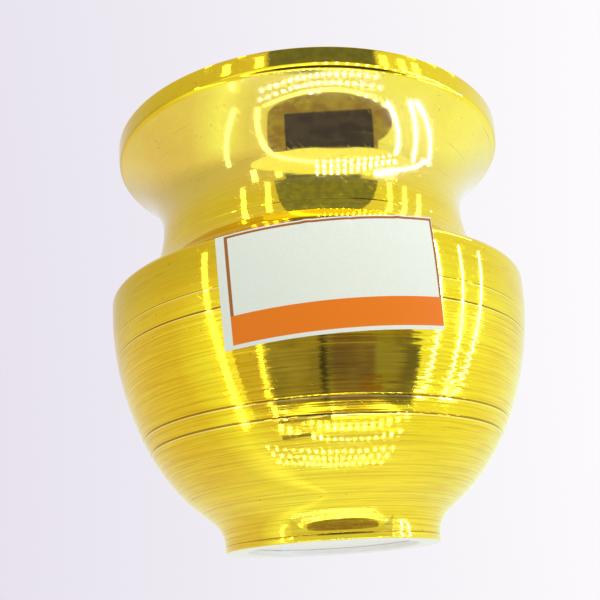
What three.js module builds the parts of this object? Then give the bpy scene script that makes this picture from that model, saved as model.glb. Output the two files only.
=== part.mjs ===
// Brass kalash: a small lathe-turned water pot with a flared mouth.
// Millimetres, +Z up. The origin is on the turning axis, at the level that the pot stands on.
import * as THREE from 'three';

// Driving dimensions of the outside: radii, and heights that build up from the belly
const footRadius = 27;
const footSpread = 0.1;
const footBandHeight = 0.6;
const bowlRadius = 33.2;
const bowlHeight = 10.3;
const bellyRadius = 55;
const bellyHeight = 63.5;
const shoulderRadius = 47.2;
const shoulderRise = 5.2;
const waistRadius = 41.5;
const waistRise = 17.6;
const lipRadius = 53.5;
const lipRise = 19.1;
const lipCornerRadius = 1.4;
const lipLean = 0.3;
const lipHeight = 5.3;

// Slopes of the outside where two curves meet, in degrees away from upright
const footSlope = 3;
const bowlSlope = 52;
const shoulderSlope = -49;
const mouthSlope = 54;
const lipSlope = 7;

// How far each curve keeps the slope of its start and of its end, as shares of its reach
const footPulls = [0.38, 0.37];
const bowlPulls = [0.26, 0.4];
const bellyPulls = [0.28, 0.5];
const neckPulls = [0.27, 0.34];
const mouthPulls = [0.38, 0.34];
const lipPulls = [0.33, 0.33];

// Sheet, joints and turned lines
const wall = 1;
const rimChamfer = 0.3;
const jointGap = 0.3;
const bellyLapLength = 5;
const neckLapLength = 2.5;
const lapThickness = 0.9;
const lapRoot = 3;
const bellySeamHeight = 53.5;
const neckSeamRise = 7.6;
const brazeWidth = 1.2;
const brazeHeight = 1.6;
const grooveHeights = [24.7, 28.2, 48.8];
const grooveWidth = 0.9;
const grooveDepth = 0.35;

// Base ring under the bowl
const baseRingHeight = 1.5;
const baseRingWidth = 5.5;
const baseRingChamfer = 0.5;

// Paper label on the front, turned a little from level
const labelWidth = 50;
const labelHeight = 25.6;
const labelThickness = 0.3;
const labelCentreHeight = 53;
const labelAngle = 3.6;
const labelTilt = 3;
const labelColumns = 14;
const labelRows = 8;
const labelStep = 0.25;

// Fineness of the turned surfaces: a new point after so many millimetres or degrees of bend
const turnSegments = 60;
const curveStep = 5.5;
const bendStep = 16;
const samplesPerCurve = 80;
const samplesPerRun = 400;
const nearly = 1e-6;

const shoulderHeight = bellyHeight + shoulderRise;
const neckSeamHeight = shoulderHeight + neckSeamRise;
const waistHeight = shoulderHeight + waistRise;
const lipCornerHeight = waistHeight + lipRise;
const potHeight = lipCornerHeight + lipHeight;
const rimRadius = lipRadius + lipLean;

const brass = { color: 0xd9b01e, roughness: 0.18, metalness: 1 };
const brazeMetal = { color: 0xb8963c, roughness: 0.4, metalness: 1 };
const paper = { color: 0xf4f3ee, roughness: 0.6, metalness: 0 };

function direction(slope) {
  const turn = THREE.MathUtils.degToRad(slope);
  return new THREE.Vector2(Math.sin(turn), Math.cos(turn));
}

// A smooth stretch of the outside between two points with given slopes
function stretch(start, startSlope, end, endSlope, [startPull, endPull]) {
  const reach = start.distanceTo(end);
  const leave = start.clone().addScaledVector(direction(startSlope), startPull * reach);
  const arrive = end.clone().addScaledVector(direction(endSlope), -endPull * reach);
  return new THREE.CubicBezierCurve(start, leave, arrive, end);
}

// The round bend where the flare of the mouth turns up into the lip
function lipCorner() {
  const bend = THREE.MathUtils.degToRad(mouthSlope - lipSlope);
  const cut = lipCornerRadius * Math.tan(bend / 2);
  const corner = new THREE.Vector2(lipRadius, lipCornerHeight);
  const start = corner.clone().addScaledVector(direction(mouthSlope), -cut);
  const end = corner.clone().addScaledVector(direction(lipSlope), cut);
  const pull = ((4 / 3) * Math.tan(bend / 4) * lipCornerRadius) / start.distanceTo(end);
  return { start, end, pulls: [pull, pull] };
}

function outsideCurves() {
  const footBottom = new THREE.Vector2(footRadius, baseRingHeight + jointGap);
  const footTop = new THREE.Vector2(footRadius + footSpread, footBottom.y + footBandHeight);
  const bowl = new THREE.Vector2(bowlRadius, bowlHeight);
  const belly = new THREE.Vector2(bellyRadius, bellyHeight);
  const shoulder = new THREE.Vector2(shoulderRadius, shoulderHeight);
  const waist = new THREE.Vector2(waistRadius, waistHeight);
  const corner = lipCorner();
  const rim = new THREE.Vector2(rimRadius, potHeight);
  return [
    new THREE.LineCurve(footBottom, footTop),
    stretch(footTop, footSlope, bowl, bowlSlope, footPulls),
    stretch(bowl, bowlSlope, belly, 0, bowlPulls),
    stretch(belly, 0, shoulder, shoulderSlope, bellyPulls),
    stretch(shoulder, shoulderSlope, waist, 0, neckPulls),
    stretch(waist, 0, corner.start, mouthSlope, mouthPulls),
    stretch(corner.start, mouthSlope, corner.end, lipSlope, corner.pulls),
    stretch(corner.end, lipSlope, rim, 0, lipPulls),
  ];
}

// Closely spaced samples of the outside, each with its outward normal
function sampleOutside() {
  const samples = [];
  for (const curve of outsideCurves()) {
    for (let i = 0; i < samplesPerCurve; i += 1) {
      const along = (i + 0.5) / samplesPerCurve;
      const point = curve.getPoint(along);
      const tangent = curve.getTangent(along);
      samples.push({ point, normal: new THREE.Vector2(tangent.y, -tangent.x) });
    }
  }
  return samples;
}

const outside = sampleOutside();

// The point that lies a depth inside the outside, level with a height of the outside
function wallPoint(height, depth) {
  let upper = outside.findIndex((sample) => sample.point.y > height);
  if (upper === -1) upper = outside.length - 1;
  upper = Math.max(upper, 1);
  const low = outside[upper - 1];
  const high = outside[upper];
  const share = (height - low.point.y) / (high.point.y - low.point.y);
  const point = low.point.clone().lerp(high.point, share);
  const normal = low.normal.clone().lerp(high.normal, share).normalize();
  return point.addScaledVector(normal, -depth);
}

// Points along the wall from one height to another at one depth, closer together where it bends
function wallRun(fromHeight, toHeight, depth) {
  const path = [wallPoint(fromHeight, depth)];
  const spent = [0];
  let heading = null;
  for (let i = 1; i <= samplesPerRun; i += 1) {
    path.push(wallPoint(fromHeight + ((toHeight - fromHeight) * i) / samplesPerRun, depth));
    const step = path[i].clone().sub(path[i - 1]);
    const bend = heading === null ? 0 : THREE.MathUtils.radToDeg(step.angleTo(heading));
    spent.push(spent[i - 1] + step.length() / curveStep + bend / bendStep);
    heading = step;
  }
  const total = spent[samplesPerRun];
  const count = Math.max(1, Math.round(total));
  const points = [];
  for (let k = 0; k <= count; k += 1) {
    points.push(path[spent.findIndex((sum) => sum >= (total * k) / count - nearly)]);
  }
  return points;
}

// The outside between two heights, with a V-shaped turned line at each groove height
function groovedRun(fromHeight, toHeight) {
  const points = [];
  let start = fromHeight;
  for (const height of grooveHeights) {
    if (height > fromHeight + grooveWidth && height < toHeight - grooveWidth) {
      points.push(...wallRun(start, height - grooveWidth / 2, 0));
      points.push(wallPoint(height, grooveDepth));
      start = height + grooveWidth / 2;
    }
  }
  points.push(...wallRun(start, toHeight, 0));
  return points;
}

function turned(name, profile, finish) {
  const geometry = new THREE.LatheGeometry(profile, turnSegments);
  const mesh = new THREE.Mesh(geometry, new THREE.MeshStandardMaterial(finish));
  mesh.name = name;
  mesh.rotation.x = Math.PI / 2;
  return mesh;
}

function closed(points) {
  return [...points, points[0].clone()];
}

function baseRing() {
  const inner = footRadius - baseRingWidth;
  const profile = [
    new THREE.Vector2(inner, 0),
    new THREE.Vector2(footRadius - baseRingChamfer, 0),
    new THREE.Vector2(footRadius, baseRingChamfer),
    new THREE.Vector2(footRadius, baseRingHeight),
    new THREE.Vector2(inner, baseRingHeight),
  ];
  return turned('base_ring', closed(profile), brass);
}

// Closed bottom, foot and belly up to the belly seam
function lowerBowl() {
  const bottom = baseRingHeight + jointGap;
  const insideBottom = bottom + wall;
  const outer = groovedRun(bottom, bellySeamHeight);
  const inner = wallRun(insideBottom + wall, bellySeamHeight, wall).reverse();
  const floorEdge = inner[inner.length - 1].x - wall;
  const profile = [
    new THREE.Vector2(0, bottom),
    ...outer,
    ...inner,
    new THREE.Vector2(floorEdge, insideBottom),
    new THREE.Vector2(0, insideBottom),
  ];
  return turned('lower_bowl', profile, brass);
}

// A length of wall whose lower end is stepped in, to slip inside the piece below
function lappedWall(seamHeight, lapLength, topHeight, topEdge) {
  const outerDepth = wall + jointGap;
  const innerDepth = outerDepth + lapThickness;
  const lapBottom = seamHeight - lapLength;
  const rootTop = seamHeight + lapRoot;
  return [
    ...wallRun(lapBottom, seamHeight + jointGap, outerDepth),
    ...groovedRun(seamHeight + jointGap, topHeight),
    ...topEdge,
    ...wallRun(rootTop + lapThickness, topHeight, wall).reverse(),
    ...wallRun(lapBottom, rootTop, innerDepth).reverse(),
  ];
}

function upperBody() {
  const profile = lappedWall(bellySeamHeight, bellyLapLength, neckSeamHeight, []);
  return turned('upper_body', closed(profile), brass);
}

function neckAndMouth() {
  const rimEdge = [
    new THREE.Vector2(rimRadius - rimChamfer, potHeight),
    new THREE.Vector2(rimRadius - wall + rimChamfer, potHeight),
  ];
  const profile = lappedWall(neckSeamHeight, neckLapLength, potHeight - rimChamfer, rimEdge);
  return turned('neck_and_mouth', closed(profile), brass);
}

// Fillet of filler metal under a lap, inside the pot
function seamBraze(name, seamHeight, lapLength) {
  const top = seamHeight - lapLength - jointGap;
  const outerDepth = wall + jointGap;
  const profile = [
    wallPoint(top - brazeHeight, outerDepth),
    wallPoint(top, outerDepth),
    wallPoint(top, outerDepth + brazeWidth),
  ];
  return turned(name, closed(profile), brazeMetal);
}

// What the label lies on: the wall, and above the belly a plain upright continuation of it
function labelWall(height) {
  const point = wallPoint(height, 0);
  if (height < bellyHeight) return point;
  return new THREE.Vector2(Math.max(bellyRadius, point.x), height);
}

// The place on the label's middle line at a distance above or below its centre
function labelLine(distance) {
  const way = Math.sign(distance);
  let height = labelCentreHeight;
  let point = labelWall(height);
  let left = Math.abs(distance);
  while (left > 0) {
    height += way * Math.min(labelStep, left);
    const next = labelWall(height);
    left -= Math.max(next.distanceTo(point), nearly);
    point = next;
  }
  const rise = point.clone().sub(labelWall(height - labelStep)).normalize();
  return { point, normal: new THREE.Vector2(rise.y, -rise.x) };
}

function labelPoint(across, up, lift) {
  const tilt = THREE.MathUtils.degToRad(labelTilt);
  const sideways = across * Math.cos(tilt) - up * Math.sin(tilt);
  const upward = up * Math.cos(tilt) + across * Math.sin(tilt);
  const { point, normal } = labelLine(upward);
  const radius = point.x + normal.x * lift;
  const turn = THREE.MathUtils.degToRad(labelAngle) + sideways / point.x;
  return [radius * Math.sin(turn), -radius * Math.cos(turn), point.y + normal.y * lift];
}

// A thin closed sheet made of a front and a back grid
function paperLabel() {
  const positions = [];
  const faces = [];
  const rowLength = labelColumns + 1;
  const layer = rowLength * (labelRows + 1);
  for (const lift of [jointGap, jointGap + labelThickness]) {
    for (let row = 0; row <= labelRows; row += 1) {
      for (let column = 0; column <= labelColumns; column += 1) {
        const across = labelWidth * (column / labelColumns - 0.5);
        const up = labelHeight * (row / labelRows - 0.5);
        positions.push(...labelPoint(across, up, lift));
      }
    }
  }
  const at = (side, row, column) => side * layer + row * rowLength + column;
  const quad = (a, b, c, d) => faces.push(a, b, c, a, c, d);
  for (let row = 0; row < labelRows; row += 1) {
    for (let column = 0; column < labelColumns; column += 1) {
      quad(at(1, row, column), at(1, row, column + 1), at(1, row + 1, column + 1), at(1, row + 1, column));
      quad(at(0, row, column), at(0, row + 1, column), at(0, row + 1, column + 1), at(0, row, column + 1));
    }
  }
  for (let column = 0; column < labelColumns; column += 1) {
    quad(at(0, 0, column), at(0, 0, column + 1), at(1, 0, column + 1), at(1, 0, column));
    quad(at(1, labelRows, column), at(1, labelRows, column + 1), at(0, labelRows, column + 1), at(0, labelRows, column));
  }
  for (let row = 0; row < labelRows; row += 1) {
    quad(at(1, row, 0), at(1, row + 1, 0), at(0, row + 1, 0), at(0, row, 0));
    quad(at(0, row, labelColumns), at(0, row + 1, labelColumns), at(1, row + 1, labelColumns), at(1, row, labelColumns));
  }
  const geometry = new THREE.BufferGeometry();
  geometry.setAttribute('position', new THREE.Float32BufferAttribute(positions, 3));
  geometry.setIndex(faces);
  geometry.computeVertexNormals();
  const mesh = new THREE.Mesh(geometry, new THREE.MeshStandardMaterial(paper));
  mesh.name = 'paper_label';
  return mesh;
}

const kalash = new THREE.Group();
kalash.add(baseRing());
kalash.add(lowerBowl());
kalash.add(upperBody());
kalash.add(neckAndMouth());
kalash.add(seamBraze('belly_seam_braze', bellySeamHeight, bellyLapLength));
kalash.add(seamBraze('neck_seam_braze', neckSeamHeight, neckLapLength));
kalash.add(paperLabel());

export default kalash;
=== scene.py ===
# Brass kalash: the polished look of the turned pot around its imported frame. Metres, +Z up.
import math

import bpy
from mathutils import Matrix, Vector

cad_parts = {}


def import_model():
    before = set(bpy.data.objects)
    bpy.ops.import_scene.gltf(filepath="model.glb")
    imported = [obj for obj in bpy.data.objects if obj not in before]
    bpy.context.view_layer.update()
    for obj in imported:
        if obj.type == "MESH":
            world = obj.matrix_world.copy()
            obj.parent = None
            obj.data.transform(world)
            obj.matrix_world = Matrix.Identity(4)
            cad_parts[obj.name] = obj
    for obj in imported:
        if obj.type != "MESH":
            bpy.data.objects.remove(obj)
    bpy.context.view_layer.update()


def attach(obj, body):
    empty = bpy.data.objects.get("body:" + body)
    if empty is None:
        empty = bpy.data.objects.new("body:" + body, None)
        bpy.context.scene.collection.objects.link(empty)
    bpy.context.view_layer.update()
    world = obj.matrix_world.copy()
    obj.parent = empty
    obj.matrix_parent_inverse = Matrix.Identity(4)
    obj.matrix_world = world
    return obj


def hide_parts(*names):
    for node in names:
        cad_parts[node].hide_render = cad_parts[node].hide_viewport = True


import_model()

# The pot's outside, in millimetres, as radius and height
MM = 0.001
FOOT_RADIUS = 27.0
FOOT_TOP = (27.1, 2.4)
BOWL = (33.2, 10.3)
BELLY = (55.0, 63.5)
SHOULDER = (47.2, 68.7)
WAIST = (41.5, 86.3)
LIP_CORNER = (53.5, 105.4)
LIP_CORNER_RADIUS = 1.4
RIM = (53.8, 110.7)

# Slopes where two curves meet, in degrees away from upright, and how far each curve keeps them
FOOT_SLOPE = 3.0
BOWL_SLOPE = 52.0
SHOULDER_SLOPE = -49.0
MOUTH_SLOPE = 54.0
LIP_SLOPE = 7.0
FOOT_PULLS = (0.38, 0.37)
BOWL_PULLS = (0.26, 0.40)
BELLY_PULLS = (0.28, 0.50)
NECK_PULLS = (0.27, 0.34)
MOUTH_PULLS = (0.38, 0.34)
LIP_PULLS = (0.33, 0.33)

# Sheet, joints and turned lines: joints show a hairline gap, and edges are eased
WALL = 1.0
RIM_ROUND = 0.45
HAIRLINE = 0.06
EASE = 0.12
BELLY_SEAM = 53.5
NECK_SEAM = 76.3
BELLY_LAP = 5.0
NECK_LAP = 2.5
LAP_THICKNESS = 0.9
LAP_ROOT = 3.0
LAP_STEP = 2.0
BRAZE = 1.5
GROOVES = (24.7, 28.2, 48.8)
GROOVE_WIDTH = 0.4
GROOVE_FLOOR = GROOVE_WIDTH / 4
GROOVE_DEPTH = 0.2
LINE_DEPTH = 0.016
BASE_HEIGHT = 1.5
BASE_WIDTH = 5.5
BASE_ROUND = 0.35
FILLET_FULLNESS = 0.8
FILLET_BEND = 1.8

# How finely the shapes are made
TURN_STEPS = 288
PROFILE_STEP = 0.45
CURVE_SAMPLES = 240
RUN_SAMPLES = 400
ARC_STEPS = 6
EASE_STEPS = 2
FILLET_STEPS = 4
TURNED_SHARP_ANGLE = math.radians(38)
NEARLY = 1e-6

# The paper label on the front
LABEL_SIZE = (50.0, 25.6)
LABEL_CENTRE = 53.0
LABEL_ANGLE = math.radians(3.6)
LABEL_TILT = math.radians(3.0)
LABEL_LIFT = 0.08
LABEL_THICKNESS = 0.12
LABEL_GRID = (120, 60)
LABEL_STEP = 0.1
LABEL_SHARP_ANGLE = math.radians(50)

# Creases along its top edge: place as a share of the width, then width and depth in millimetres
CREASES = ((0.42, 0.9, 0.35), (0.62, 0.7, -0.3), (0.83, 0.8, 0.3))
CREASE_START = 0.86
CREASE_GROWTH = 1.5

# Its print: left, right, lower and upper edge as shares of the sheet
FRAME_LINE_OUTER = (0.043, 0.998, 0.035, 0.988)
FRAME_LINE_INNER = (0.059, 0.988, 0.055, 0.967)
ORANGE_BAND = (0.043, 0.998, 0.035, 0.28)
PAPER_TONES = ((0.81, 0.86, 0.74, 1.0), (0.89, 0.94, 0.82, 1.0))
PRINT_ORANGE = (0.89, 0.22, 0.006, 1.0)
PRINT_BROWN = (0.42, 0.14, 0.03, 1.0)
FIBRE_SCALE = 1500.0
FIBRE_LEVELS = (0.3, 0.7)
FIBRE_DEPTH = 0.02
PAPER_ROUGHNESS = (0.42, 0.55)
PAPER_SHINE = 0.1

# The brass: its colours, among them a dark for stains and painted shade, a painted highlight and a painted
# pale light for the underside
BRASS_BRIGHT = (0.93, 0.70, 0.03, 1.0)
BRASS_DEEP = (0.81, 0.51, 0.013, 1.0)
# Dark for real stains and pits, and also for the painted shade in the turned grooves
DARK_STAIN_AND_PAINTED_SHADE = (0.28, 0.17, 0.03, 1.0)
BRASS_ORANGE = (0.5, 0.26, 0.014, 1.0)
# A painted highlight colour for the narrow bands just below the grooves and the belly joint
PAINTED_HIGHLIGHT_PALE = (1.0, 0.86, 0.3, 1.0)
# Painted light: a near-white colour for the underside that stands in for bright light from below, in place of
# the brass colour
UNDERSIDE_PAINTED_LIGHT = (0.93, 0.90, 0.84, 1.0)

# The brass: heights over which its finishes come in, and at the lip distances to the side
FLARE_FADE = (80.0, 88.0)
LOWER_FADE = (52.0, 46.0)
BELLY_FADE = (22.0, 29.0)
FOOT_FADE = (24.0, 16.0)
LIP_MARGIN = 0.5
LIP_SIDE_FADE = (38.0, 50.0)
LIP_CLEARNESS = (1.0, 0.35)

# The brass: its lines are spaced by the height and this share of the radius
RADIUS_SHARE = 0.3

# The brass: how often each pattern repeats in a metre, and the levels of it that count
COARSE_LINES = 800.0
FINE_LINES = 2600.0
RING_LINES = 2200.0
BAND_LINES = 110.0
MARK_STRETCH = (45.0, 45.0, 2600.0)
BRUSH_STRETCH = (60.0, 60.0, 1900.0)
SCRATCH_STRETCH = (2600.0, 60.0, 300.0)
CLOUD_SCALE = 38.0
PIT_SCALE = 900.0
GRAIN_SCALE = 750.0
COARSE_LEVELS = (0.3, 0.7)
RING_LEVELS = (0.60, 0.68)
BAND_LEVELS = (0.4, 0.6)
MARK_LEVELS = (0.66, 0.74)
BRUSH_LEVELS = (0.36, 0.64)
SCRATCH_LEVELS = (0.70, 0.76)
CLOUD_LEVELS = (0.35, 0.7)
PIT_LEVELS = (0.74, 0.79)

# The brass: how much each pattern tints it, and how strong the painted shade in the grooves and the painted
# highlight below them are
CLOUD_TINT = 0.45
BRUSH_TINT = 0.35
BRUSH_TINT_LOWER = 0.4
BRUSH_TINT_FLARE = 0.28
GRAIN_TINT = 0.35
RING_TINT = 0.3
# Painted shade in the turned grooves: its strength and how far it reaches
GROOVE_PAINTED_SHADE = 0.8
GROOVE_REACH = 0.13
# A painted highlight in a narrow band just below each groove and the belly joint: its strength, drop and
# reach
EDGE_PAINTED_HIGHLIGHT = 0.6
EDGE_DROP = 0.34
EDGE_REACH = 0.12
MARK_TINT = 0.4
PIT_TINT = 0.35

# The brass: how rough it is, how deep its lines are and how hazy its coat is
POLISH = (0.035, 0.07)
BAND_ROUGHNESS = 0.06
MARK_ROUGHNESS = 0.2
UNDERSIDE_ROUGHNESS = 0.45
UNDERSIDE_DULLNESS = 0.85
FLARE_RELIEF = 0.1
BODY_RELIEF = 0.35
BELLY_RELIEF = (4.0, 8.0)
FINE_RELIEF = 0.02
BRUSH_RELIEF = 0.05
MARK_CUT = 0.15
SCRATCH_CUT = 0.12
FLARE_HAZE = 0.85
FOOT_HAZE = 0.22
COAT = 0.04
COAT_IOR = 1.8
COAT_ROUGHNESS = 0.12

# The filler metal
BRAZE_TONES = ((0.5, 0.36, 0.1, 1.0), (0.7, 0.55, 0.22, 1.0))
BRAZE_SCALE = 420.0
BRAZE_LEVELS = (0.2, 0.8)
BRAZE_ROUGHNESS = (0.32, 0.6)
BRAZE_DEPTH = 0.25

# Where Blender's mix node keeps its two colours and their mix
MIX_INPUTS = (6, 7)
MIX_OUTPUT = 2

# The photograph's viewpoint: focal length in pixels of a 600-pixel frame, and the place in millimetres
FRAME_PIXELS = 600.0
FOCAL_PIXELS = 899.7
CAMERA_PLACE = (0.0, -233.8, -15.8)
CAMERA_TILT = math.radians(19.41)
CAMERA_YAW = math.radians(-1.13)
CAMERA_ROLL = math.radians(-3.46)
SENSOR_WIDTH = 36.0
CLIP_START = 0.005

# The room: its floor, its pale background with painted shade that darkens it towards the left, its soft light
# and its two lamps, in metres
FLOOR_HALF = 0.6
FLOOR_LEVEL = -0.0002
FLOOR_COLOUR = (0.86, 0.85, 0.87, 1.0)
FLOOR_ROUGHNESS = 0.9
BACKGROUND_SHADE_FADE = (-0.35, 0.3)
SHADED_BACKGROUND_TONES = ((0.80, 0.76, 0.85, 1.0), (0.98, 0.96, 0.98, 1.0))
ROOM_LIGHT_COLOUR = (0.95, 0.94, 0.96, 1.0)
ROOM_LIGHT_STRENGTH = 0.75
LAMP_SIZE = (0.5, 0.5)
LAMP_TARGET = (0, 0, 0.05)
KEY_PLACE = (-0.5, -0.5, 0.6)
KEY_POWER = 0.8
FILL_PLACE = (0.6, -0.4, 0.4)
FILL_POWER = 2.4

# The light tent that the metal mirrors: spheres about a point on the pot's axis, in millimetres
TENT_HEIGHT = 60.0
TENT_RADIUS = 260.0
TENT_GAP = 6.0
CLOTH_RADIUS = TENT_RADIUS + TENT_GAP
LED_RADIUS = TENT_RADIUS - TENT_GAP
FLARE_RADIUS = 105.0
FLARE_LED_RADIUS = FLARE_RADIUS - TENT_GAP / 2
BELLY_RADIUS = 80.0
LAYER_GAP = 1.0

# The tent's cloth: its brightness to the sides, what it gains below and above, and one lit fold
CLOTH_STEPS = (72, 36)
CLOTH_LEFT = 0.82
CLOTH_RIGHT = 1.26
CLOTH_BELOW = 0.25
CLOTH_ABOVE = -0.2
BELOW_FADE = (-0.5, -0.9)
ABOVE_FADE = (0.25, 0.5)
FOLD_AZIMUTH = -57.0
FOLD_REACH = 20.0
FOLD_LIGHT = 0.38
FOLD_FADE = (0.4, 0.1)
CLOTH_LEVELS = (0.8, 1.15)
CLOTH_TONES = ((1.0, 0.97, 0.93, 1.0), (0.84, 1.0, 0.84, 1.0))

# The tent's dim cards, each of two tones in soft patches
CARD_SCALE = 60.0
CARD_LEVELS = (0.42, 0.58)
CARD_TONES = {
    "olive": ((0.26, 0.26, 0.5), (0.34, 0.34, 0.56)),
    "brown": ((0.16, 0.13, 0.5), (0.24, 0.20, 0.56)),
    "moss": ((0.17, 0.18, 0.5), (0.30, 0.32, 0.56)),
    "dusk": ((0.15, 0.18, 0.55), (0.19, 0.22, 0.6)),
    "straw": ((0.66, 0.60, 0.5), (0.78, 0.73, 0.6)),
    "amber": ((0.30, 0.24, 0.25), (0.40, 0.38, 0.34)),
    "shade": ((0.21, 0.24, 0.55), (0.27, 0.31, 0.6)),
    "night": ((0.055, 0.055, 0.25), (0.08, 0.08, 0.3)),
    "red": ((0.34, 0.14, 0.2), (0.26, 0.16, 0.2)),
}

# The tent's lights: colour and strength
GLOW = ((0.86, 1.0, 0.8), 1.3)
LED = ((0.62, 0.75, 1.7), 40.0)
SOFT_LED = ((0.94, 1.0, 0.9), 5.0)
FOOT_GLOW = ((0.88, 1.0, 0.86), 0.85)

# Patches of the tent: left and right azimuth, then lower and upper elevation, in degrees
OPENING = ((-24, 46), (-30, 11))
OPENING_ABOVE = ((-24, 50), (37, 75))
OPENING_TOP = ((-16, 37), (25, 37))
MIDDLE_NEAR = ((-11, 37), (-8, 19))
COLUMN_SIDE = ((-31, -21), (-39, -20))
COLUMN_RED = ((15, 22), (-34, -31))
COLUMN_FOOT = ((-19, 3), (-42.6, -41))
COLUMN_END = ((-19, -6), (-47, -45.8))
COLUMN_EDGES = (-19, -0.3, 2, 4, 19, 36)
COLUMN_CARDS = ("olive", "night", "moss", "brown", "moss")
COLUMN_ELEVATIONS = (-38.5, -20)
PATCH_STEPS = (24, 16)
RAGGED_STEPS = (24, 60)
COLUMN_STEPS = (6, 60)
RAGGED = 0.8
RAGGED_WAVES = (2.3, 0.9)

# Ovals of the tent: azimuth and elevation of the middle, then half the width and height
OPENING_LOW = ((11, -30), (35, 15))
OPENING_NEAR = ((15.5, 0), (33, 20))
GLOW_TOP = ((16, 26), (48, 8))
OVAL_STEPS = 64
OVAL_RINGS = 12

# Lit strips of the tent: three directions that each runs through, and widths in degrees
LEFT_STRIPS = (((-47, -36), (-51, -10), (-52, 17)), ((-31, -36), (-29, -12), (-23, 10)))
RIGHT_STRIPS = (
    ((56, -33), (60, -10), (59, 17)),
    ((71, -31), (73, -9), (73, 17)),
    ((75, -30), (83, -10), (87, 17)),
)
BELLY_STRIP = ((-33, -42), (-34.5, -26), (-36.5, -9))
RING_LEFT = ((-24, 8), (-17, 22), (5, 29))
RING_RIGHT = ((72, 22), (60, 29), (38, 33))
OPENING_EDGE = ((-27, -37), (11, -46.5), (49, -37))
HIGH_AZIMUTHS = (-48, -29, 59, 72, 86)
HIGH_ELEVATIONS = (37, 48, 60)
HIGH_SPREAD = (1.0, 1.1, 1.3)
LIP_AZIMUTHS = (-37, -20, 41, 51, 59)
LIP_ELEVATIONS = (27, 31, 35)
STRIP_STEPS = 40
STRIP_WIDTH = 0.8
SOFT_STRIP_WIDTH = 2.6
LIP_STRIP_WIDTH = SOFT_STRIP_WIDTH * 1.3
BELLY_GLOW_WIDTH = 8
BELLY_CORE_WIDTH = 2.5
RING_LEFT_WIDTH = 2.0
OPENING_EDGE_WIDTH = 1.4

# Rows of small lights: name, azimuths, elevations of each row, spacing, size and sphere
SHORT_ROW = ((6, -45), (30, -44), (54, -31))
LOW_SPACING = 5.2
LOW_SIZE = 0.9
LED_ROWS = (
    ("low_row", (-30, 12, 54), ((-42, -51, -42), (-48, -56, -48)), LOW_SPACING, LOW_SIZE, LED_RADIUS),
    ("top_row", (5, 28, 50), ((28.5, 27.5, 22), (31, 30, 26), (33, 32, 27)), 3.9, 0.8, FLARE_LED_RADIUS),
    ("floor_row", (-46, 3, 56), ((-53, -62, -55), (-57, -65.7, -59), (-61, -69, -63)), 6.2, 0.65, LED_RADIUS),
)

# The low strip in front of the foot: reach and middle in degrees, the rest in millimetres
FOOT_LIGHT_RADIUS = 29.0
FOOT_LIGHT_MIDDLE = 6.0
FOOT_LIGHT_REACH = 27.0
FOOT_LIGHT_TOPS = (1.9, 3.9)
FOOT_LIGHT_BOTTOM = -0.4
FOOT_LIGHT_STEPS = 32


def direction(slope):
    turn = math.radians(slope)
    return Vector((math.sin(turn), math.cos(turn)))


def stretch(start, start_slope, end, end_slope, pulls):
    """Samples one smooth curve of the outside as (point, outward normal)."""
    start, end = Vector(start), Vector(end)
    reach = (end - start).length
    leave = start + direction(start_slope) * pulls[0] * reach
    arrive = end - direction(end_slope) * pulls[1] * reach
    samples = []
    for i in range(CURVE_SAMPLES):
        t = (i + 0.5) / CURVE_SAMPLES
        u = 1 - t
        point = start * u**3 + leave * 3 * t * u * u + arrive * 3 * t * t * u + end * t**3
        slope = (leave - start) * 3 * u * u + (arrive - leave) * 6 * t * u + (end - arrive) * 3 * t * t
        slope.normalize()
        samples.append((point, Vector((slope.y, -slope.x))))
    return samples


def lip_corner():
    """The round bend where the flare of the mouth turns up into the lip: its ends and its pulls."""
    bend = math.radians(MOUTH_SLOPE - LIP_SLOPE)
    cut = LIP_CORNER_RADIUS * math.tan(bend / 2)
    start = Vector(LIP_CORNER) - direction(MOUTH_SLOPE) * cut
    end = Vector(LIP_CORNER) + direction(LIP_SLOPE) * cut
    pull = 4 / 3 * math.tan(bend / 4) * LIP_CORNER_RADIUS / (end - start).length
    return start, end, (pull, pull)


def sample_outside():
    """The pot's whole outside, from the foot up to the rim."""
    corner_start, corner_end, corner_pulls = lip_corner()
    samples = stretch((FOOT_RADIUS, BASE_HEIGHT), FOOT_SLOPE, FOOT_TOP, FOOT_SLOPE, LIP_PULLS)
    samples += stretch(FOOT_TOP, FOOT_SLOPE, BOWL, BOWL_SLOPE, FOOT_PULLS)
    samples += stretch(BOWL, BOWL_SLOPE, BELLY, 0, BOWL_PULLS)
    samples += stretch(BELLY, 0, SHOULDER, SHOULDER_SLOPE, BELLY_PULLS)
    samples += stretch(SHOULDER, SHOULDER_SLOPE, WAIST, 0, NECK_PULLS)
    samples += stretch(WAIST, 0, corner_start, MOUTH_SLOPE, MOUTH_PULLS)
    samples += stretch(corner_start, MOUTH_SLOPE, corner_end, LIP_SLOPE, corner_pulls)
    samples += stretch(corner_end, LIP_SLOPE, RIM, 0, LIP_PULLS)
    return samples


OUTSIDE = sample_outside()


def wall_point(height, depth):
    """The point that lies a depth inside the outside, level with a height of the outside."""
    low, high = 0, len(OUTSIDE) - 1
    while high - low > 1:
        middle = (low + high) // 2
        if OUTSIDE[middle][0].y > height:
            high = middle
        else:
            low = middle
    a, b = OUTSIDE[low], OUTSIDE[high]
    share = (height - a[0].y) / (b[0].y - a[0].y)
    point = a[0].lerp(b[0], share)
    normal = a[1].lerp(b[1], share).normalized()
    return point - normal * depth


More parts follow.
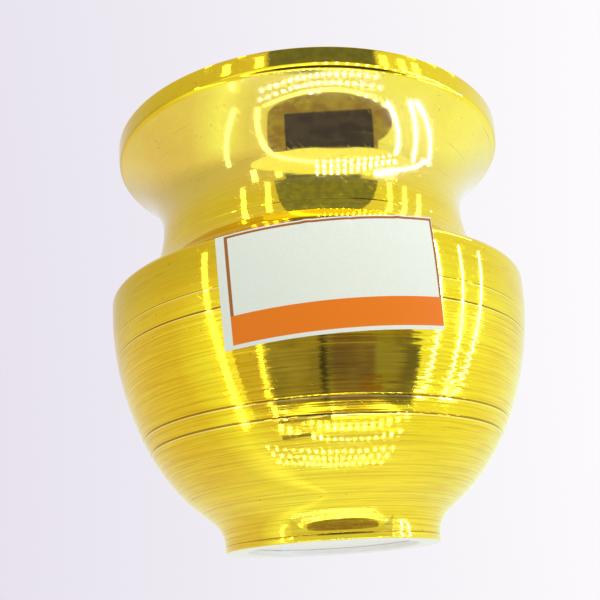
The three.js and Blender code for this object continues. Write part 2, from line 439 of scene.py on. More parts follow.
def wall_run(start, end, depth, step=PROFILE_STEP):
    """Points along the wall between two heights at one depth, evenly spaced."""
    fine = RUN_SAMPLES
    path = [wall_point(start + (end - start) * i / fine, depth) for i in range(fine + 1)]
    lengths = [0.0]
    for a, b in zip(path, path[1:]):
        lengths.append(lengths[-1] + (b - a).length)
    count = max(1, round(lengths[-1] / step))
    points = []
    index = 0
    for k in range(count + 1):
        goal = lengths[-1] * k / count
        while index < fine and lengths[index] < goal - NEARLY:
            index += 1
        points.append(path[index])
    return points


def grooved_run(start, end):
    """Points along the outside between two heights, cut in at each turned line on the way."""
    points = []
    low = start
    for height in GROOVES:
        if start + GROOVE_WIDTH < height < end - GROOVE_WIDTH:
            points += wall_run(low, height - GROOVE_WIDTH / 2, 0)
            points.append(wall_point(height - GROOVE_FLOOR / 2, GROOVE_DEPTH))
            points.append(wall_point(height + GROOVE_FLOOR / 2, GROOVE_DEPTH))
            low = height + GROOVE_WIDTH / 2
    return points + wall_run(low, end, 0)


def smooth(mesh, sharp_angle):
    """Shades a mesh smooth, except across edges sharper than an angle."""
    mesh.polygons.foreach_set("use_smooth", [True] * len(mesh.polygons))
    mesh.set_sharp_from_angle(angle=sharp_angle)


def placed(name, mesh, material):
    """Puts a mesh into the scene as a piece of one material."""
    mesh.materials.append(material)
    piece = bpy.data.objects.new(name, mesh)
    bpy.context.scene.collection.objects.link(piece)
    return piece


def turned(name, profile, material):
    """A closed turned solid from a profile in millimetres that runs round its section."""
    steps = TURN_STEPS
    verts, rows = [], []
    for point in profile:
        if point.x < NEARLY:
            rows.append([len(verts)] * steps)
            verts.append((0, 0, point.y * MM))
            continue
        rows.append(list(range(len(verts), len(verts) + steps)))
        for k in range(steps):
            turn = 2 * math.pi * k / steps
            verts.append((point.x * MM * math.cos(turn), point.x * MM * math.sin(turn), point.y * MM))
    faces = []
    pairs = list(zip(rows, rows[1:]))
    if profile[0].x > NEARLY:
        pairs.append((rows[-1], rows[0]))
    for low, high in pairs:
        for k in range(steps):
            corners = [low[k], low[(k + 1) % steps], high[(k + 1) % steps], high[k]]
            face = list(dict.fromkeys(corners))
            if len(face) > 2:
                faces.append(face)
    mesh = bpy.data.meshes.new(name)
    mesh.from_pydata(verts, [], faces)
    mesh.validate()
    smooth(mesh, TURNED_SHARP_ANGLE)
    return placed(name, mesh, material)


def adopt(piece, node):
    """Puts a piece in its node's place."""
    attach(piece, "root")
    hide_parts(node)


class Nodes:
    """Short calls for building a material."""

    def __init__(self, name):
        self.material = bpy.data.materials.new(name)
        self.material.use_nodes = True
        self.tree = self.material.node_tree
        self.shader = self.tree.nodes["Principled BSDF"]

    def add(self, kind, **values):
        node = self.tree.nodes.new(kind)
        for key, value in values.items():
            setattr(node, key, value)
        return node

    def link(self, output, socket):
        self.tree.links.new(output, socket)

    def feed(self, socket, value):
        """Gives a socket a constant, or another node's output."""
        if isinstance(value, (int, float, tuple)):
            socket.default_value = value
        else:
            self.link(value, socket)

    def give(self, name, value):
        """Gives a socket of the material's own shader its value."""
        self.feed(self.shader.inputs[name], value)

    def show(self, output):
        """Makes an output the material's surface."""
        self.link(output, self.tree.nodes["Material Output"].inputs["Surface"])

    def glow(self, colour, strength):
        """Makes the material give light of its own."""
        node = self.add("ShaderNodeEmission")
        self.feed(node.inputs["Color"], colour)
        self.feed(node.inputs["Strength"], strength)
        self.show(node.outputs[0])

    def place(self):
        """The place on the object, in metres."""
        return self.add("ShaderNodeTexCoord").outputs["Object"]

    def split(self, vector):
        node = self.add("ShaderNodeSeparateXYZ")
        self.link(vector, node.inputs[0])
        return tuple(node.outputs)

    def math(self, operation, a, b=0.0, c=0.0):
        node = self.add("ShaderNodeMath", operation=operation)
        for socket, value in zip(node.inputs, (a, b, c)):
            self.feed(socket, value)
        return node.outputs[0]

    def plus(self, a, b):
        return self.math("ADD", a, b)

    def minus(self, a, b):
        return self.math("SUBTRACT", a, b)

    def times(self, a, b):
        return self.math("MULTIPLY", a, b)

    def noise(self, vector=None, w=None, scale=1.0, detail=2.0, rough=0.5):
        node = self.add("ShaderNodeTexNoise")
        node.noise_dimensions = "1D" if w is not None else "3D"
        if w is not None:
            self.feed(node.inputs["W"], w)
        if vector is not None:
            self.feed(node.inputs["Vector"], vector)
        node.inputs["Scale"].default_value = scale
        node.inputs["Detail"].default_value = detail
        node.inputs["Roughness"].default_value = rough
        return node.outputs["Fac"]

    def stretched(self, axes, amounts, detail, rough=0.5):
        """Noise along three axes, each stretched by its own amount."""
        spread = self.add("ShaderNodeCombineXYZ")
        for socket, axis, amount in zip(spread.inputs, axes, amounts):
            self.link(self.times(axis, amount), socket)
        return self.noise(vector=spread.outputs[0], detail=detail, rough=rough)

    def ramp(self, value, low, high, out_low=0.0, out_high=1.0):
        node = self.add("ShaderNodeMapRange")
        for socket, number in zip(node.inputs, (value, low, high, out_low, out_high)):
            self.feed(socket, number)
        return node.outputs[0]

    def mix(self, share, a, b):
        node = self.add("ShaderNodeMix", data_type="RGBA")
        self.feed(node.inputs["Factor"], share)
        for index, colour in zip(MIX_INPUTS, (a, b)):
            self.feed(node.inputs[index], colour)
        return node.outputs[MIX_OUTPUT]

    def bump(self, height, distance):
        node = self.add("ShaderNodeBump")
        node.inputs["Distance"].default_value = distance
        self.link(height, node.inputs["Height"])
        return node.outputs[0]


def brass_material():
    """Polished brass with the circular lines that the lathe tool and polishing leave, painted shade in the
    turned grooves, a painted highlight just below them and the belly joint, and a painted pale light on the
    underside.
    """
    n = Nodes("brass")
    place = n.place()
    x, y, z = n.split(place)
    height = n.math("DIVIDE", z, MM)
    radius = n.math("SQRT", n.plus(n.times(x, x), n.times(y, y)))
    along = n.plus(z, n.times(radius, RADIUS_SHARE))
    flare = n.ramp(height, *FLARE_FADE)
    lip = n.math("GREATER_THAN", height, LIP_CORNER[1] - LIP_MARGIN)
    lower = n.ramp(height, *LOWER_FADE)
    belly = n.times(lower, n.ramp(height, *BELLY_FADE))
    foot = n.ramp(height, *FOOT_FADE)
    low = n.math("LESS_THAN", height, BASE_HEIGHT + EASE)
    # The underside inside the foot ring gets the painted pale light, and is rougher and less metallic
    under = n.times(low, n.math("LESS_THAN", radius, (FOOT_RADIUS - BASE_ROUND) * MM))

    coarse = n.noise(w=n.times(along, COARSE_LINES), detail=1.0, rough=0.4)
    fine = n.noise(w=n.times(along, FINE_LINES), detail=1.0)
    rings = n.ramp(n.noise(w=n.times(along, RING_LINES), detail=0.0), *RING_LEVELS)
    bands = n.ramp(n.noise(w=n.times(along, BAND_LINES), detail=1.0), *BAND_LEVELS)
    marks = n.ramp(n.stretched((x, y, along), MARK_STRETCH, detail=2.0, rough=0.6), *MARK_LEVELS)
    brush = n.stretched((x, y, along), BRUSH_STRETCH, detail=3.0, rough=0.6)
    leaning = (n.plus(x, z), y, n.minus(x, z))
    scratches = n.ramp(n.stretched(leaning, SCRATCH_STRETCH, detail=1.0), *SCRATCH_LEVELS)
    cloud = n.noise(vector=place, scale=CLOUD_SCALE, detail=4.0, rough=0.6)
    pits = n.ramp(n.noise(vector=place, scale=PIT_SCALE, detail=1.0), *PIT_LEVELS)
    grain = n.noise(vector=place, scale=GRAIN_SCALE, detail=2.0, rough=0.7)

    cloudy = n.times(n.ramp(cloud, *CLOUD_LEVELS), CLOUD_TINT)
    less_on_flare = n.minus(BRUSH_TINT, n.times(flare, BRUSH_TINT_FLARE))
    brushing = n.plus(n.times(lower, BRUSH_TINT_LOWER), less_on_flare)
    grainy = n.times(grain, n.times(flare, GRAIN_TINT))
    brushed = n.plus(n.times(n.ramp(brush, *BRUSH_LEVELS), brushing), grainy)
    tone = n.mix(n.plus(cloudy, brushed), BRASS_BRIGHT, BRASS_DEEP)
    lined = n.mix(n.times(n.times(rings, lower), RING_TINT), tone, BRASS_ORANGE)
    # Painted shade darkens the turned grooves
    painted_groove_shade, edges = 0.0, 0.0
    for line in GROOVES:
        painted_groove_shade = n.math("MAXIMUM", painted_groove_shade, n.math("COMPARE", height, line, GROOVE_REACH))
    # A painted highlight: a narrow pale band just below each groove and the belly joint
    for line in (*GROOVES, BELLY_SEAM):
        edges = n.math("MAXIMUM", edges, n.math("COMPARE", height, line - EDGE_DROP, EDGE_REACH))
    with_edge_highlight = n.mix(n.times(edges, EDGE_PAINTED_HIGHLIGHT), lined, PAINTED_HIGHLIGHT_PALE)
    with_groove_shade = n.mix(n.times(painted_groove_shade, GROOVE_PAINTED_SHADE), with_edge_highlight, DARK_STAIN_AND_PAINTED_SHADE)
    stained = n.mix(n.times(marks, MARK_TINT), with_groove_shade, DARK_STAIN_AND_PAINTED_SHADE)
    pitted = n.mix(n.times(pits, PIT_TINT), stained, DARK_STAIN_AND_PAINTED_SHADE)
    n.give("Base Color", n.mix(under, pitted, UNDERSIDE_PAINTED_LIGHT))

    worn = n.times(n.times(bands, lower), BAND_ROUGHNESS)
    shade = n.plus(n.ramp(coarse, *COARSE_LEVELS, *POLISH), worn)
    rough = n.plus(shade, n.times(n.math("MAXIMUM", marks, scratches), MARK_ROUGHNESS))
    n.give("Roughness", n.plus(rough, n.times(under, UNDERSIDE_ROUGHNESS)))
    n.give("Metallic", n.minus(1.0, n.times(under, UNDERSIDE_DULLNESS)))

    relief = n.plus(n.times(n.minus(1.0, flare), BODY_RELIEF), FLARE_RELIEF)
    relief = n.plus(relief, n.times(belly, n.ramp(bands, 0.0, 1.0, *BELLY_RELIEF)))
    turned_lines = n.plus(coarse, n.plus(n.times(fine, FINE_RELIEF), n.times(brush, BRUSH_RELIEF)))
    cuts = n.plus(n.times(marks, MARK_CUT), n.times(scratches, SCRATCH_CUT))
    surface = n.minus(n.times(turned_lines, relief), cuts)
    n.give("Normal", n.bump(surface, LINE_DEPTH * MM))

    near, far = (side * MM for side in LIP_SIDE_FADE)
    clear_front = n.times(lip, n.ramp(n.math("ABSOLUTE", x), near, far, *LIP_CLEARNESS))
    hazy_flare = n.times(flare, n.minus(1.0, clear_front))
    haze = n.plus(n.times(hazy_flare, FLARE_HAZE), n.times(foot, FOOT_HAZE))
    n.give("Coat Weight", n.plus(haze, COAT))
    n.give("Coat IOR", COAT_IOR)
    n.give("Coat Roughness", COAT_ROUGHNESS)
    return n.material


def braze_material():
    """Dull, lumpy filler metal."""
    n = Nodes("braze")
    lumps = n.noise(vector=n.place(), scale=BRAZE_SCALE, detail=4.0)
    n.give("Base Color", n.mix(lumps, *BRAZE_TONES))
    n.give("Roughness", n.ramp(lumps, *BRAZE_LEVELS, *BRAZE_ROUGHNESS))
    n.give("Normal", n.bump(lumps, BRAZE_DEPTH * MM))
    n.give("Metallic", 1.0)
    return n.material


def label_material():
    """White paper with a fine frame line and an orange band, otherwise blank."""
    n = Nodes("label_paper")
    u, v = n.split(n.add("ShaderNodeUVMap", uv_map="sheet").outputs[0])[:2]

    def inside(left, right, low, high):
        across = n.times(n.math("GREATER_THAN", u, left), n.math("LESS_THAN", u, right))
        upward = n.times(n.math("GREATER_THAN", v, low), n.math("LESS_THAN", v, high))
        return n.times(across, upward)

    line = n.minus(inside(*FRAME_LINE_OUTER), inside(*FRAME_LINE_INNER))
    band = inside(*ORANGE_BAND)
    fibre = n.noise(vector=n.place(), scale=FIBRE_SCALE, detail=3.0)
    with_line = n.mix(line, n.mix(fibre, *PAPER_TONES), PRINT_BROWN)
    n.give("Base Color", n.mix(band, with_line, PRINT_ORANGE))
    n.give("Roughness", n.ramp(fibre, *FIBRE_LEVELS, *PAPER_ROUGHNESS))
    n.give("Specular IOR Level", PAPER_SHINE)
    n.give("Normal", n.bump(fibre, FIBRE_DEPTH * MM))
    return n.material


def arc(centre, radius, start, end, count=ARC_STEPS):
    """Points on a round edge, from one angle to another in degrees."""
    turns = [math.radians(start + (end - start) * k / count) for k in range(count + 1)]
    return [Vector(centre) + Vector((math.cos(turn), math.sin(turn))) * radius for turn in turns]


def foot_ring(material):
    """The flat ring that the pot stands on."""
    inner = FOOT_RADIUS - BASE_WIDTH
    top = BASE_HEIGHT - HAIRLINE
    profile = [Vector((inner, top)), Vector((inner, BASE_ROUND)), Vector((inner + BASE_ROUND, 0))]
    profile += arc((FOOT_RADIUS - BASE_ROUND, BASE_ROUND), BASE_ROUND, -90, 0)
    profile += arc((FOOT_RADIUS - EASE, top - EASE), EASE, 0, 90, EASE_STEPS)
    piece = turned("foot_ring", profile, material)
    adopt(piece, "base_ring")


def bowl_shell(material):
    """The spun bowl with its closed bottom."""
    inside_bottom = BASE_HEIGHT + WALL
    bend = 2 * WALL
    underside = [Vector((0, BASE_HEIGHT)), Vector((FOOT_RADIUS - EASE, BASE_HEIGHT))]
    outer = grooved_run(BASE_HEIGHT + EASE, BELLY_SEAM - EASE)
    lip = [wall_point(BELLY_SEAM, EASE)]
    inner = wall_run(inside_bottom + bend, BELLY_SEAM, WALL)[::-1]
    fillet = arc((inner[-1].x - bend, inside_bottom + bend), bend, 0, -90)
    floor = [Vector((0, inside_bottom))]
    piece = turned("bowl_shell", underside + outer + lip + inner + fillet + floor, material)
    adopt(piece, "lower_bowl")


def lapped_profile(seam, lap, top, top_edge):
    """A length of wall whose lower end is stepped in, to slip inside the piece below."""
    outer_depth = WALL + EASE
    inner_depth = outer_depth + LAP_THICKNESS
    profile = wall_run(seam - lap, seam + HAIRLINE, outer_depth)
    profile.append(wall_point(seam + HAIRLINE, EASE))
    profile += grooved_run(seam + HAIRLINE + EASE, top)
    profile += top_edge
    profile += wall_run(seam + LAP_ROOT + LAP_STEP, top, WALL)[::-1]
    profile += wall_run(seam - lap, seam + LAP_ROOT, inner_depth)[::-1]
    return profile


def body_shell(material):
    """The spun shoulder between the two joints."""
    profile = lapped_profile(BELLY_SEAM, BELLY_LAP, NECK_SEAM - EASE, [wall_point(NECK_SEAM, EASE)])
    piece = turned("body_shell", profile, material)
    adopt(piece, "upper_body")


def mouth_shell(material):
    """The neck, the flared mouth and the lip with its rounded rim."""
    level = RIM[1] - RIM_ROUND
    rim_edge = arc((RIM[0] - RIM_ROUND, level), RIM_ROUND, 0, 90)
    rim_edge += arc((RIM[0] - WALL + RIM_ROUND, level), RIM_ROUND, 90, 180)
    profile = lapped_profile(NECK_SEAM, NECK_LAP, level, rim_edge)
    piece = turned("mouth_shell", profile, material)
    adopt(piece, "neck_and_mouth")


def braze_fillet(name, node, seam, lap, material):
    """A concave fillet of filler metal under a lap."""
    outer_depth = WALL + HAIRLINE / 2
    top = seam - lap - HAIRLINE
    profile = [wall_point(top - BRAZE, outer_depth), wall_point(top, outer_depth)]
    for k in range(FILLET_STEPS):
        share = k / FILLET_STEPS
        thickness = BRAZE * FILLET_FULLNESS * (1 - share) ** FILLET_BEND
        profile.append(wall_point(top - BRAZE * share, outer_depth + thickness))
    piece = turned(name, profile, material)
    adopt(piece, node)


def label_wall(height):
    """What the label lies on: the wall, and above the belly a plain upright continuation of it."""
    if height < BELLY[1]:
        return wall_point(height, 0)
    return Vector((BELLY[0], height))


def label_line(distance):
    """The place on the label's middle line at a distance above or below its centre, and its normal."""
    height = LABEL_CENTRE
    point = label_wall(height)
    left = abs(distance)
    way = 1 if distance >= 0 else -1
    while left > 0:
        height += way * min(LABEL_STEP, left)
        ahead = label_wall(height)
        left -= max((ahead - point).length, NEARLY)
        point = ahead
    rise = (point - label_wall(height - LABEL_STEP)).normalized()
    return point, Vector((rise.y, -rise.x))


def crease_lift(u, v):
    """How far the creases lift the paper or press it in, at a place on the sheet."""
    growth = max(0.0, (v - CREASE_START) / (1 - CREASE_START)) ** CREASE_GROWTH
    lift = 0.0
    for place, width, depth in CREASES:
        lift += depth * growth * math.exp(-((u - place) * LABEL_SIZE[0] / width) ** 2)
    return lift


def label_points():
    """The points of the label's back, then of its front, and their places on the sheet."""
    columns, rows = LABEL_GRID
    known = {}
    points, sheet = [], []
    for side in (0, 1):
        for row in range(rows + 1):
            for column in range(columns + 1):
                u, v = column / columns, row / rows
                across = LABEL_SIZE[0] * (u - 0.5)
                up = LABEL_SIZE[1] * (v - 0.5)
                sideways = across * math.cos(LABEL_TILT) - up * math.sin(LABEL_TILT)
                upward = round(up * math.cos(LABEL_TILT) + across * math.sin(LABEL_TILT), 3)
                if upward not in known:
                    known[upward] = label_line(upward)
                point, normal = known[upward]
                lift = LABEL_LIFT + side * LABEL_THICKNESS + crease_lift(u, v)
                radius = (point.x + normal.x * lift) * MM
                level = (point.y + normal.y * lift) * MM
                turn = LABEL_ANGLE + sideways / point.x
                points.append((radius * math.sin(turn), -radius * math.cos(turn), level))
                sheet.append((u, v))
    return points, sheet


def label_faces():
    """The faces of the label's front and back and of its four edges."""
    columns, rows = LABEL_GRID
    length = columns + 1
    layer = length * (rows + 1)

    def at(side, row, column):
        return side * layer + row * length + column

    faces = []
    for row in range(rows):
        for column in range(columns):
            above, right = row + 1, column + 1
            faces.append([at(1, row, column), at(1, row, right), at(1, above, right), at(1, above, column)])
            faces.append([at(0, row, column), at(0, above, column), at(0, above, right), at(0, row, right)])
    for column in range(columns):
        right = column + 1
        faces.append([at(0, 0, column), at(0, 0, right), at(1, 0, right), at(1, 0, column)])
        faces.append([at(1, rows, column), at(1, rows, right), at(0, rows, right), at(0, rows, column)])
    for row in range(rows):
        above, end = row + 1, columns
        faces.append([at(1, row, 0), at(1, above, 0), at(0, above, 0), at(0, row, 0)])
        faces.append([at(0, row, end), at(0, above, end), at(1, above, end), at(1, row, end)])
    return faces


def paper_label(material):
    """The label as a thin closed sheet that follows the pot's side."""
    points, sheet = label_points()
    mesh = bpy.data.meshes.new("label")
    mesh.from_pydata(points, [], label_faces())
    layer = mesh.uv_layers.new(name="sheet")
    for loop in mesh.loops:
        layer.data[loop.index].uv = sheet[loop.vertex_index]
    smooth(mesh, LABEL_SHARP_ANGLE)
    piece = placed("label", mesh, material)
    adopt(piece, "paper_label")


def plain(name, verts, faces, material):
    """A piece of the stage from its points and faces."""
    mesh = bpy.data.meshes.new(name)
    mesh.from_pydata(verts, [], faces)
    piece = placed(name, mesh, material)
    return piece


def one_sided_floor():
    """A pale floor that shows only from above, because the camera looks from below its level."""
    n = Nodes("floor")
    n.give("Base Color", FLOOR_COLOUR)
    n.give("Roughness", FLOOR_ROUGHNESS)
    n.give("Specular IOR Level", 0.0)
    below = n.add("ShaderNodeNewGeometry").outputs["Backfacing"]
    clear = n.add("ShaderNodeBsdfTransparent")
    pick = n.add("ShaderNodeMixShader")
    for socket, output in zip(pick.inputs, (below, n.shader.outputs[0], clear.outputs[0])):
        n.link(output, socket)
    n.show(pick.outputs[0])
    corners = ((-1, -1), (1, -1), (1, 1), (-1, 1))
    verts = [(x * FLOOR_HALF, y * FLOOR_HALF, FLOOR_LEVEL) for x, y in corners]
    floor = plain("floor", verts, [[0, 1, 2, 3]], n.material)
    floor.visible_glossy = False
    floor.visible_diffuse = False
    floor.visible_shadow = False


def card_material(name, colour, strength):
    """An even glow of one colour."""
    n = Nodes(name)
    n.glow((*colour, 1.0), strength)
    return n.material


def mottled_card(name, first, second):
    """A dim glow of two colours in soft patches."""
    n = Nodes(name)
    patches = n.noise(vector=n.place(), scale=CARD_SCALE, detail=2.0)
    n.glow(n.mix(n.ramp(patches, *CARD_LEVELS), (*first, 1.0), (*second, 1.0)), 1.0)
    return n.material


def tent_point(azimuth, elevation, radius=TENT_RADIUS):
    """A place on the tent, in metres, from its direction in degrees: azimuth turns from the front to +X."""
    turn, rise = math.radians(azimuth), math.radians(elevation)
    level = math.cos(rise) * radius
    height = TENT_HEIGHT + math.sin(rise) * radius
    return Vector((math.sin(turn) * level, -math.cos(turn) * level, height)) * MM


def mirrored_only(piece):
    """Keeps a piece of the tent for the metal's reflections."""
    piece.visible_camera = False
    piece.visible_shadow = False
    piece.visible_diffuse = False
    piece.visible_transmission = False


def tent_patch(name, azimuths, elevations, material, radius=TENT_RADIUS, steps=PATCH_STEPS, ragged=0.0):
    """A curved patch of the tent between two azimuths and two elevations, with ragged sides where asked."""
    across, upward = steps
    fast, slow = RAGGED_WAVES
    verts = []
    for row in range(upward + 1):
        elevation = elevations[0] + (elevations[1] - elevations[0]) * row / upward
        sway = ragged * (math.sin(row * fast) + math.sin(row * slow + 1))
        for column in range(across + 1):
            azimuth = azimuths[0] + (azimuths[1] - azimuths[0]) * column / across + sway
            verts.append(tuple(tent_point(azimuth, elevation, radius)))
    faces = []
    for row in range(upward):
        for column in range(across):
            a = row * (across + 1) + column
            faces.append([a, a + 1, a + across + 2, a + across + 1])
    mirrored_only(plain(name, verts, faces, material))


def tent_oval(name, centre, halves, material, radius):
    """An oval on a sphere about the tent's middle."""
    steps, rings = OVAL_STEPS, OVAL_RINGS
    verts = []
    for ring in range(rings + 1):
        for k in range(steps):
            turn = 2 * math.pi * k / steps
            azimuth = centre[0] + halves[0] * math.cos(turn) * ring / rings
            elevation = centre[1] + halves[1] * math.sin(turn) * ring / rings
            verts.append(tuple(tent_point(azimuth, elevation, radius)))
    faces = []
    for ring in range(rings):
        for k in range(steps):
            a, b = ring * steps + k, ring * steps + (k + 1) % steps
            faces.append([a, b, b + steps, a + steps] if ring else [a, b + steps, a + steps])
    mirrored_only(plain(name, verts, faces, material))


def led_strip(name, path, width, material, radius=LED_RADIUS):
    """A glowing strip along a bent line of directions, lying on the tent."""
    steps = STRIP_STEPS
    verts = []
    for k in range(steps + 1):
        azimuth, elevation = bent(path, k / steps)
        before, after = bent(path, (k - 0.5) / steps), bent(path, (k + 0.5) / steps)
        squeeze = math.cos(math.radians(elevation))
        along = Vector(((after[0] - before[0]) * squeeze, after[1] - before[1])).normalized()
        for side in (-width / 2, width / 2):
            sideways = azimuth + along.y * side / squeeze
            verts.append(tuple(tent_point(sideways, elevation - along.x * side, radius)))
    faces = [[2 * k, 2 * k + 1, 2 * k + 3, 2 * k + 2] for k in range(steps)]
    mirrored_only(plain(name, verts, faces, material))


def led_row(name, path, spacing, size, material, radius=LED_RADIUS):
    """A row of small square lights along a bent line of directions."""
    verts, faces = [], []
    count = round((path[2][0] - path[0][0]) / spacing)
    for k in range(count + 1):
        azimuth, elevation = bent(path, k / count)
        half = size / 2 / math.cos(math.radians(elevation))
        base = len(verts)
        for a, b in ((-1, -1), (1, -1), (1, 1), (-1, 1)):
            verts.append(tuple(tent_point(azimuth + a * half, elevation + b * size / 2, radius)))
        faces.append([base, base + 1, base + 2, base + 3])
    mirrored_only(plain(name, verts, faces, material))


def foot_light(material):
    """A low lit strip round the front of the foot, higher at its two ends."""
    steps = FOOT_LIGHT_STEPS
    middle_top, end_top = FOOT_LIGHT_TOPS
    verts = []
    for k in range(steps + 1):
        share = 2 * k / steps - 1
        turn = math.radians(FOOT_LIGHT_MIDDLE + FOOT_LIGHT_REACH * share)
        x, y = FOOT_LIGHT_RADIUS * math.sin(turn) * MM, -FOOT_LIGHT_RADIUS * math.cos(turn) * MM
        top = middle_top + (end_top - middle_top) * share ** 4
        verts += [(x, y, FOOT_LIGHT_BOTTOM * MM), (x, y, top * MM)]
    faces = [[2 * k, 2 * k + 2, 2 * k + 3, 2 * k + 1] for k in range(steps)]
    mirrored_only(plain("foot_light", verts, faces, material))


def bent(path, share):
    """A point on the smooth bend through three directions."""
    low, middle, high = path
    u = 1 - share
    return tuple(
        2 * (share - 0.5) * (share - 1) * a + 4 * share * u * b + 2 * share * (share - 0.5) * c
        for a, b, c in zip(low, middle, high)
    )


def tent_cloth():
    """The tent's white cloth: brighter to the right, below and at one lit fold on the left."""
    n = Nodes("tent_cloth")
    x, y, z = n.split(n.place())
    reach = TENT_RADIUS * MM

    def over_height(shares, gain=1.0):
        start, end = shares
        return n.ramp(z, start * reach, end * reach, 0.0, gain)

    side = n.ramp(x, -reach, reach, CLOTH_LEFT, CLOTH_RIGHT)
    azimuth = n.math("ARCTAN2", x, n.times(y, -1.0))
    from_fold = n.math("ABSOLUTE", n.minus(azimuth, math.radians(FOLD_AZIMUTH)))
    lit = n.ramp(from_fold, math.radians(FOLD_REACH), 0.0, 0.0, FOLD_LIGHT)
    fold = n.times(lit, over_height(FOLD_FADE))
    ends = n.plus(over_height(BELOW_FADE, CLOTH_BELOW), over_height(ABOVE_FADE, CLOTH_ABOVE))
    light = n.plus(n.plus(side, fold), ends)
    n.glow(n.mix(n.ramp(light, *CLOTH_LEVELS), *CLOTH_TONES), light)
    return n.material


def tent_opening(card):
    """The tent's opening at the front: dim cards far off, close to the flare and close to the belly."""
    tent_patch("opening", *OPENING, card["amber"])
    tent_oval("opening_low", *OPENING_LOW, card["amber"], TENT_RADIUS)
    tent_patch("opening_above", *OPENING_ABOVE, card["shade"])
    tent_patch("opening_top", *OPENING_TOP, card["dusk"], TENT_RADIUS, RAGGED_STEPS, RAGGED)
    tent_oval("opening_near", *OPENING_NEAR, card["amber"], FLARE_RADIUS)
    foot_light(card_material("foot_light", *FOOT_GLOW))
    tent_patch("middle_near", *MIDDLE_NEAR, card["night"], FLARE_RADIUS - LAYER_GAP)
    for index, tone in enumerate(COLUMN_CARDS):
        place = (COLUMN_EDGES[index:index + 2], COLUMN_ELEVATIONS)
        tent_patch(f"column_{index}", *place, card[tone], BELLY_RADIUS, COLUMN_STEPS, RAGGED)
    tent_patch("column_edge", *COLUMN_SIDE, card["straw"], BELLY_RADIUS, COLUMN_STEPS, RAGGED)
    tent_patch("column_red", *COLUMN_RED, card["red"], BELLY_RADIUS - LAYER_GAP)
    tent_patch("column_foot", *COLUMN_FOOT, card["olive"], BELLY_RADIUS)
    tent_patch("column_end", *COLUMN_END, card["olive"], BELLY_RADIUS)


def tent_lights(glow, led, soft_led):
    """The lit strips and the rows of small lights round the opening."""
    tent_oval("glow_top", *GLOW_TOP, glow, FLARE_RADIUS + LAYER_GAP)
    for index, path in enumerate(LEFT_STRIPS):
        led_strip(f"left_strip_{index}", path, SOFT_STRIP_WIDTH, soft_led)
    led_strip("left_glow", BELLY_STRIP, BELLY_GLOW_WIDTH, glow, BELLY_RADIUS)
    led_strip("left_core", BELLY_STRIP, BELLY_CORE_WIDTH, soft_led, BELLY_RADIUS - LAYER_GAP)
    for index, path in enumerate(RIGHT_STRIPS):
        led_strip(f"right_strip_{index}", path, STRIP_WIDTH, led)
    for index, azimuth in enumerate(HIGH_AZIMUTHS):
        azimuths = [azimuth * spread for spread in HIGH_SPREAD]
        led_strip(f"high_strip_{index}", list(zip(azimuths, HIGH_ELEVATIONS)), SOFT_STRIP_WIDTH, soft_led)
    for index, azimuth in enumerate(LIP_AZIMUTHS):
        path = [(azimuth, elevation) for elevation in LIP_ELEVATIONS]
        led_strip(f"lip_strip_{index}", path, LIP_STRIP_WIDTH, soft_led)
    led_strip("ring_left", RING_LEFT, RING_LEFT_WIDTH, soft_led, FLARE_LED_RADIUS)
    led_strip("ring_right", RING_RIGHT, STRIP_WIDTH, led, FLARE_LED_RADIUS)
    led_strip("opening_edge", OPENING_EDGE, OPENING_EDGE_WIDTH, soft_led)
    led_row("short_row", SHORT_ROW, LOW_SPACING, LOW_SIZE, led)
    for name, azimuths, rows, spacing, size, radius in LED_ROWS:
        for index, elevations in enumerate(rows):
            led_row(f"{name}_{index}", list(zip(azimuths, elevations)), spacing, size, led, radius)


def light_tent():
    """What the polished metal mirrors: a white tent with a dark opening and lights along its edges."""
    tent_patch("tent", (-180, 180), (-90, 90), tent_cloth(), CLOTH_RADIUS, CLOTH_STEPS)
    card = {name: mottled_card(name, *tones) for name, tones in CARD_TONES.items()}
    glow = card_material("glow", *GLOW)
    led = card_material("led", *LED)
    soft_led = card_material("soft_led", *SOFT_LED)
    tent_opening(card)
    tent_lights(glow, led, soft_led)


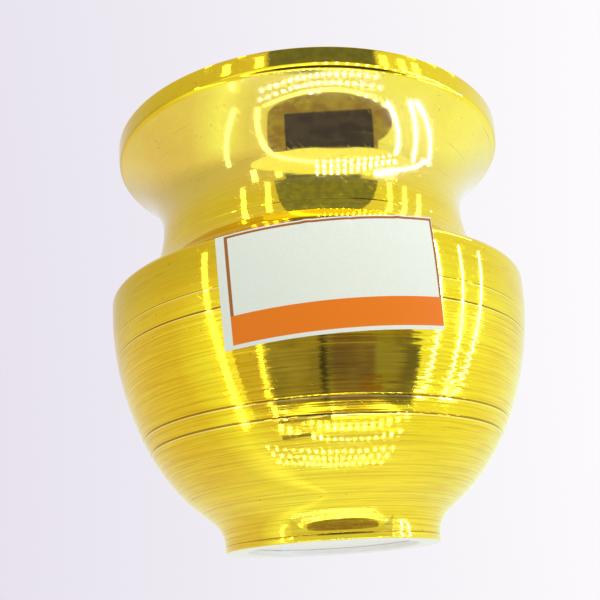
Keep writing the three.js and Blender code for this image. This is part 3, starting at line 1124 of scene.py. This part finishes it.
def world():
    """A pale background, with painted shade darker to the left, for what is seen, mirrored or looked through,
    and an even soft light for the rest.
    """
    scene = bpy.context.scene
    scene.world = bpy.data.worlds.new("pale_room")
    scene.world.use_nodes = True
    tree = scene.world.node_tree
    tree.nodes.clear()
    make = tree.nodes.new
    join = tree.links.new
    split = make("ShaderNodeSeparateXYZ")
    join(make("ShaderNodeTexCoord").outputs["Generated"], split.inputs[0])
    fade = make("ShaderNodeMapRange")
    join(split.outputs[0], fade.inputs["Value"])
    fade.inputs["From Min"].default_value = BACKGROUND_SHADE_FADE[0]
    fade.inputs["From Max"].default_value = BACKGROUND_SHADE_FADE[1]
    mix = make("ShaderNodeMix")
    mix.data_type = "RGBA"
    join(fade.outputs[0], mix.inputs["Factor"])
    for index, tone in zip(MIX_INPUTS, SHADED_BACKGROUND_TONES):
        mix.inputs[index].default_value = tone
    background = make("ShaderNodeBackground")
    join(mix.outputs[MIX_OUTPUT], background.inputs["Color"])
    light = make("ShaderNodeBackground")
    light.inputs["Color"].default_value = ROOM_LIGHT_COLOUR
    light.inputs["Strength"].default_value = ROOM_LIGHT_STRENGTH
    rays = make("ShaderNodeLightPath").outputs
    seen = rays["Is Camera Ray"]
    for kind in ("Is Glossy Ray", "Is Transmission Ray"):
        either = make("ShaderNodeMath")
        either.operation = "MAXIMUM"
        join(seen, either.inputs[0])
        join(rays[kind], either.inputs[1])
        seen = either.outputs[0]
    pick = make("ShaderNodeMixShader")
    for socket, output in zip(pick.inputs, (seen, light.outputs[0], background.outputs[0])):
        join(output, socket)
    join(pick.outputs[0], make("ShaderNodeOutputWorld").inputs["Surface"])


def soft_lamp(name, place, power):
    """A square lamp turned to the pot, which the metal doesn't mirror."""
    data = bpy.data.lights.new(name, "AREA")
    data.shape = "RECTANGLE"
    data.size, data.size_y = LAMP_SIZE
    data.energy = power
    lamp = bpy.data.objects.new(name, data)
    lamp.location = place
    lamp.rotation_euler = (Vector(LAMP_TARGET) - Vector(place)).to_track_quat("-Z", "Y").to_euler()
    lamp.visible_glossy = False
    bpy.context.scene.collection.objects.link(lamp)


def camera():
    """The photograph's viewpoint."""
    data = bpy.data.cameras.new("camera")
    data.sensor_width = SENSOR_WIDTH
    data.lens = FOCAL_PIXELS / FRAME_PIXELS * SENSOR_WIDTH
    data.clip_start = CLIP_START
    eye = bpy.data.objects.new("camera", data)
    forward = Vector((
        math.sin(CAMERA_YAW) * math.cos(CAMERA_TILT),
        math.cos(CAMERA_YAW) * math.cos(CAMERA_TILT),
        math.sin(CAMERA_TILT),
    ))
    right = forward.cross(Vector((0, 0, 1))).normalized()
    up = right.cross(forward)
    turned_right = right * math.cos(CAMERA_ROLL) + up * math.sin(CAMERA_ROLL)
    turned_up = up * math.cos(CAMERA_ROLL) - right * math.sin(CAMERA_ROLL)
    matrix = Matrix((turned_right, turned_up, -forward)).transposed().to_4x4()
    matrix.translation = Vector(CAMERA_PLACE) * MM
    eye.matrix_world = matrix
    bpy.context.scene.collection.objects.link(eye)
    bpy.context.scene.camera = eye


camera()
world()
one_sided_floor()
light_tent()
soft_lamp("key", KEY_PLACE, KEY_POWER)
soft_lamp("fill", FILL_PLACE, FILL_POWER)
bpy.context.scene.view_settings.view_transform = "Standard"

brass = brass_material()
braze = braze_material()
foot_ring(brass)
bowl_shell(brass)
body_shell(brass)
mouth_shell(brass)
braze_fillet("belly_braze", "belly_seam_braze", BELLY_SEAM, BELLY_LAP, braze)
braze_fillet("neck_braze", "neck_seam_braze", NECK_SEAM, NECK_LAP, braze)
paper_label(label_material())
